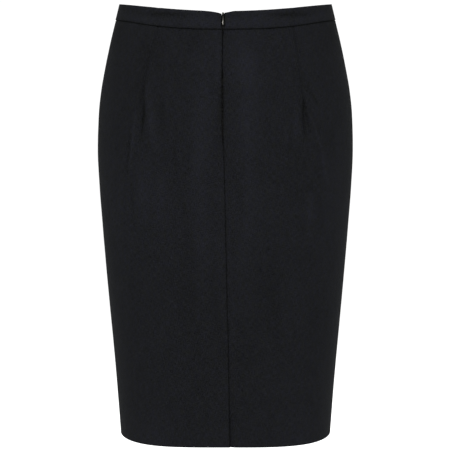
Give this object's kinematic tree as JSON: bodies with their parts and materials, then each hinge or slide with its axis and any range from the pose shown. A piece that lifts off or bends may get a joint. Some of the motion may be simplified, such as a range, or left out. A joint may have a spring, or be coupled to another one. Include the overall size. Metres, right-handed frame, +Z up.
{
  "type": "pencil skirt",
  "caption": "Knee-length pencil skirt with a shaped waistband, back darts, a centre back zip with a swinging pull tab, and a lapped back vent, filled out as worn.",
  "frame": {"origin": "centre of the waist, half way up the waistband at the side seams, where the wearer's waist holds the skirt", "axes": "+Z up; +Y the wearer's front; -Y the back with the zip and vent; +X the wearer's right"},
  "size_m": [0.3548, 0.2584, 0.5979],
  "materials": {
    "suiting": "dark navy-charcoal wool-blend suiting, fine plain weave, matt with a faint nap",
    "zip_tape": "dark woven zip tape and chain",
    "zip_metal": "gunmetal with a faint warm cast, polished"
  },
  "bodies": {
    "garment": {"front_panel": "suiting", "back_left_panel": "suiting", "back_right_panel": "suiting", "waistband_front": "suiting", "waistband_back_left": "suiting", "waistband_back_right": "suiting", "zip_tape_left": "zip_tape", "zip_tape_right": "zip_tape", "zip_chain": "zip_tape", "zip_slider": "zip_metal"},
    "pull": {"zip_pull": "zip_metal"}
  },
  "joints": [
    {"name": "pull_swing", "type": "hinge", "parent": "garment", "child": "pull", "pos_m": [-0.00321, -0.10727, -0.00193], "axis": [-1, 0, 0], "range_deg": [0, 170]}
  ]
}
